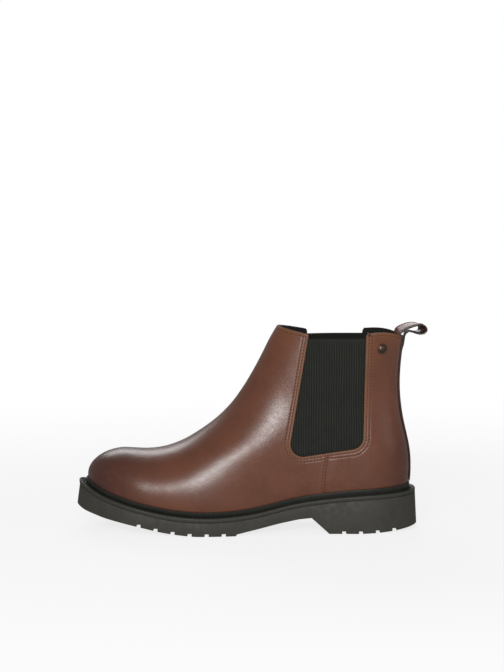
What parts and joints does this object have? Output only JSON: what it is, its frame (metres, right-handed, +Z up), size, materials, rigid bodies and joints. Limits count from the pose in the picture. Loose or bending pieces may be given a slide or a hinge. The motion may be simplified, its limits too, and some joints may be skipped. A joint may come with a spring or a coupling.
{
  "type": "chelsea boot",
  "caption": "Left ankle boot with elastic side gores, plain leather vamp, pull tab at the back and a welted rubber sole with a low heel.",
  "frame": {"origin": "centre of the bounding box in plan, on the floor", "axes": "-X towards the toe, +X towards the heel, -Y the outer (lateral) side of this left boot, +Z up"},
  "size_m": [0.3112, 0.1077, 0.1825],
  "materials": {
    "leather": "waxed smooth brown",
    "elastic": "ribbed black elastic",
    "lining": "matt black",
    "stiffener": "matt",
    "fibreboard": "pressed fibre",
    "steel": "pressed",
    "cork": "granular",
    "foam": "cloth-faced",
    "welt_rubber": "satin",
    "sole_rubber": "matt moulded",
    "bronze": "dark antique"
  },
  "bodies": {
    "boot": {"vamp": "leather", "lateral_quarter": "leather", "medial_quarter": "leather", "backstay": "leather", "lateral_gore": "elastic", "medial_gore": "elastic", "vamp_lining": "lining", "quarter_lining": "lining", "heel_grip": "lining", "toe_puff": "stiffener", "heel_counter": "stiffener", "insole_board": "fibreboard", "shank": "steel", "bottom_filler": "cork", "heel_pad": "foam", "sock": "foam", "welt": "welt_rubber", "outsole": "sole_rubber", "stud": "bronze"},
    "pull_tab": {"pull_tab": "leather"}
  },
  "joints": [
    {"name": "pull_tab_hinge", "type": "hinge", "parent": "boot", "child": "pull_tab", "pos_m": [0.1274, 0, 0.1734], "axis": [0, 1, 0], "range_deg": [-75, 8], "stiffness_Nm_per_rad": 0.02}
  ]
}
